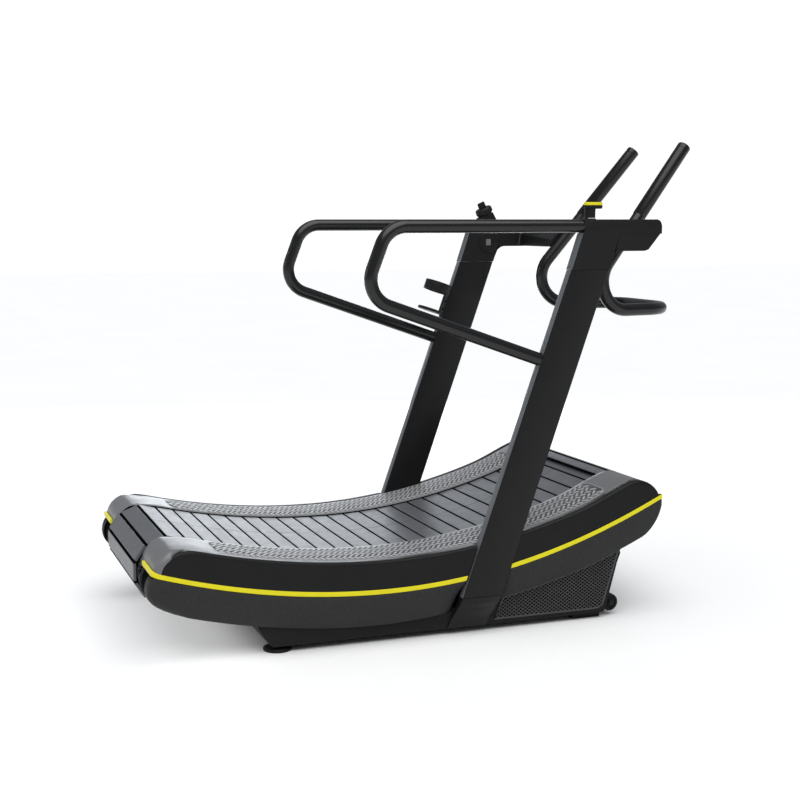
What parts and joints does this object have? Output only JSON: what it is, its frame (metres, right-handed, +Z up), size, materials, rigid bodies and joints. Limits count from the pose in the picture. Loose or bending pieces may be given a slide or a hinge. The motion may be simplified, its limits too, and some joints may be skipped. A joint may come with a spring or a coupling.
{
  "type": "curved_manual_treadmill",
  "caption": "Curved manual treadmill with a grey slatted belt, black side panels with a yellow line, leaning uprights, handrails, push handles, bottle holder and brake controls",
  "frame": {"origin": "on the floor, under the middle of the bounding box", "axes": "+X is the way the runner faces (the raised front with the push handles), +Y is the runner's left, +Z is up"},
  "size_m": [1.9358, 0.936, 1.5583],
  "materials": {
    "slat_rubber": "light grey speckled rubber slats, satin, black gaps between them",
    "silver_plastic": "light silver-grey moulded plastic with raised lozenge tread",
    "black_panel": "satin black moulded side panel",
    "dark_panel": "dark grey side panel with a fine vertical grain",
    "yellow_trim": "bright yellow glossy trim",
    "black_coat": "satin black powder coat",
    "frame_paint": "dark grey painted steel",
    "base_paint": "dark grey powder-coated sheet",
    "mesh_steel": "black perforated sheet",
    "steel": "bare turned steel",
    "alloy": "bare cast aluminium",
    "black_rubber": "matt black rubber",
    "black_plastic": "satin black moulded plastic"
  },
  "bodies": {
    "machine_frame": {"arm_cover_left": "black_plastic", "arm_cover_right": "black_plastic", "base_frame": "frame_paint", "base_skirt_left": "base_paint", "base_skirt_right": "base_paint", "base_tray": "base_paint", "bottle_holder": "black_plastic", "brake_axle": "steel", "drive_belt": "black_rubber", "foot_rail_left": "silver_plastic", "foot_rail_right": "silver_plastic", "front_cover": "silver_plastic", "front_pad_left": "black_rubber", "front_pad_right": "black_rubber", "grille_left": "mesh_steel", "grille_right": "mesh_steel", "grip_left": "black_rubber", "grip_right": "black_rubber", "handrail_left": "black_coat", "handrail_right": "black_coat", "head_left": "black_plastic", "head_right": "black_plastic", "lower_panel_left_front": "dark_panel", "lower_panel_left_rear": "dark_panel", "lower_panel_right_front": "dark_panel", "lower_panel_right_rear": "dark_panel", "push_bar": "black_coat", "rear_axle": "steel", "side_frame_left": "frame_paint", "side_frame_right": "frame_paint", "slat_belt": "slat_rubber", "trim_strip_left_front": "yellow_trim", "trim_strip_left_rear": "yellow_trim", "trim_strip_right_front": "yellow_trim", "trim_strip_right_rear": "yellow_trim", "upper_panel_left_front": "black_panel", "upper_panel_left_rear": "black_panel", "upper_panel_right_front": "black_panel", "upper_panel_right_rear": "black_panel", "upright_foot_left": "black_coat", "upright_foot_right": "black_coat", "upright_left": "black_coat", "upright_right": "black_coat", "wheel_pin_left": "steel", "wheel_pin_right": "steel", "yoke_pivot_pin": "steel"},
    "rear_drum_turning": {"rear_drum": "steel"},
    "front_drum_turning": {"front_drum": "steel", "front_axle": "steel", "front_pulley": "alloy"},
    "brake_disc_turning": {"brake_disc": "steel"},
    "magnet_yoke_arm": {"magnet_yoke": "alloy"},
    "mode_dial_turning": {"mode_dial": "black_plastic"},
    "selector": {"selector_knob": "black_rubber", "knob_cap": "yellow_trim"},
    "wheel_left": {"transport_wheel_left": "black_rubber"},
    "wheel_right": {"transport_wheel_right": "black_rubber"},
    "foot_left": {"levelling_foot_left": "black_rubber"},
    "foot_right": {"levelling_foot_right": "black_rubber"}
  },
  "joints": [
    {"name": "rear_drum_spin", "type": "hinge", "parent": "machine_frame", "child": "rear_drum_turning", "pos_m": [-0.86007, 0, 0.24257], "axis": [0, 1, 0], "continuous": true},
    {"name": "front_drum_spin", "type": "hinge", "parent": "machine_frame", "child": "front_drum_turning", "pos_m": [0.61369, 0, 0.36001], "axis": [0, 1, 0], "continuous": true},
    {"name": "brake_disc_spin", "type": "hinge", "parent": "machine_frame", "child": "brake_disc_turning", "pos_m": [0.30417, -0.335, 0.19], "axis": [0, 1, 0], "continuous": true},
    {"name": "magnet_yoke_swing", "type": "hinge", "parent": "machine_frame", "child": "magnet_yoke_arm", "pos_m": [0.16217, -0.335, 0.112], "axis": [0, 1, 0], "range_deg": [0, 12]},
    {"name": "selector_turn", "type": "hinge", "parent": "machine_frame", "child": "selector", "pos_m": [0.44817, -0.4476, 1.32], "axis": [0, 0, 1], "range_deg": [0, 90]},
    {"name": "mode_dial_turn", "type": "hinge", "parent": "machine_frame", "child": "mode_dial_turning", "pos_m": [0.48167, 0.4376, 1.315], "axis": [-0.42, 0, 0.9075], "range_deg": [-45, 45]},
    {"name": "wheel_left_spin", "type": "hinge", "parent": "machine_frame", "child": "wheel_left", "pos_m": [0.57117, 0.386, 0.044], "axis": [0, 1, 0], "continuous": true},
    {"name": "wheel_right_spin", "type": "hinge", "parent": "machine_frame", "child": "wheel_right", "pos_m": [0.57117, -0.386, 0.044], "axis": [0, 1, 0], "continuous": true},
    {"name": "foot_left_adjust", "type": "slide", "parent": "machine_frame", "child": "foot_left", "axis": [0, 0, 1], "range_m": [-0.012, 0.004]},
    {"name": "foot_right_adjust", "type": "slide", "parent": "machine_frame", "child": "foot_right", "axis": [0, 0, 1], "range_m": [-0.012, 0.004]}
  ],
  "couplings": [
    {"joint": "front_drum_spin", "follows": "rear_drum_spin", "ratio": 1.4415},
    {"joint": "brake_disc_spin", "follows": "rear_drum_spin", "ratio": 2.8506},
    {"joint": "selector_turn", "follows": "magnet_yoke_swing", "ratio": 7.5}
  ]
}
